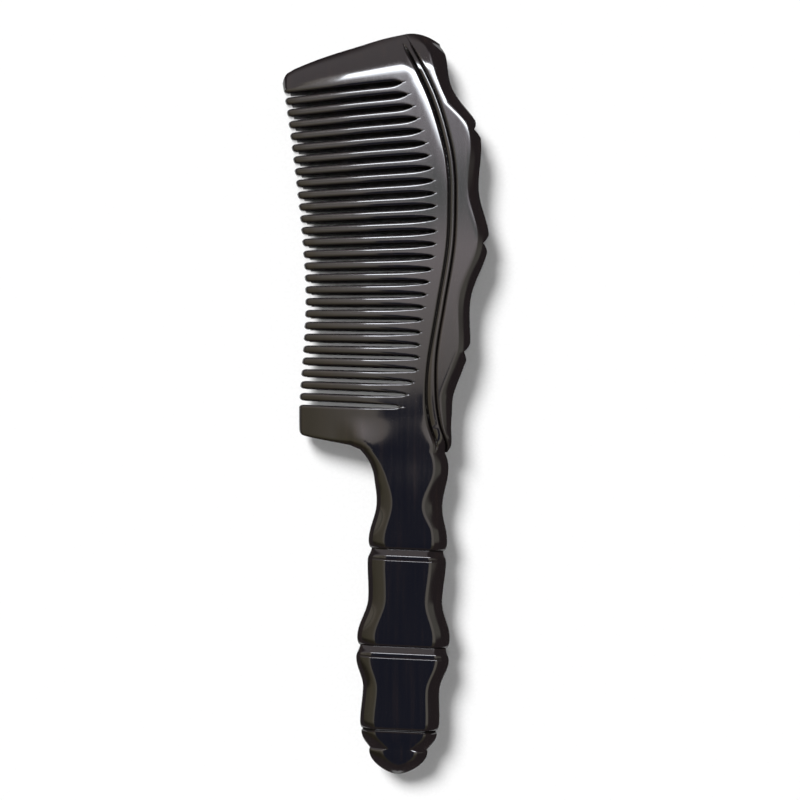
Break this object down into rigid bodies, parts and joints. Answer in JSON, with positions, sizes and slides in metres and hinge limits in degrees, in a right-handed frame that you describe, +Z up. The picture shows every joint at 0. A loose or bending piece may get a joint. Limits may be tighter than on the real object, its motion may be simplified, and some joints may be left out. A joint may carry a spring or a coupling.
{
  "type": "handled horn comb",
  "caption": "Flat grooming comb of polished dark horn: a fan of sawn teeth with a bamboo-shaped rail along the back and a ringed, rod-strung handle.",
  "frame": {"origin": "middle of the plan box, on the surface the comb lies on", "axes": "+X from the tooth tips to the spine rail, +Y from the butt of the handle to the top of the comb, +Z up out of the broad face"},
  "size_m": [0.0558, 0.2004, 0.0096],
  "materials": {
    "horn": "polished black horn",
    "rod_steel": "drawn rod"
  },
  "bodies": {
    "root": {"blade": "horn", "spine": "horn", "handle_neck": "horn", "handle_middle": "horn", "handle_lower": "horn", "handle_butt": "horn", "core_rod": "rod_steel"}
  },
  "joints": []
}
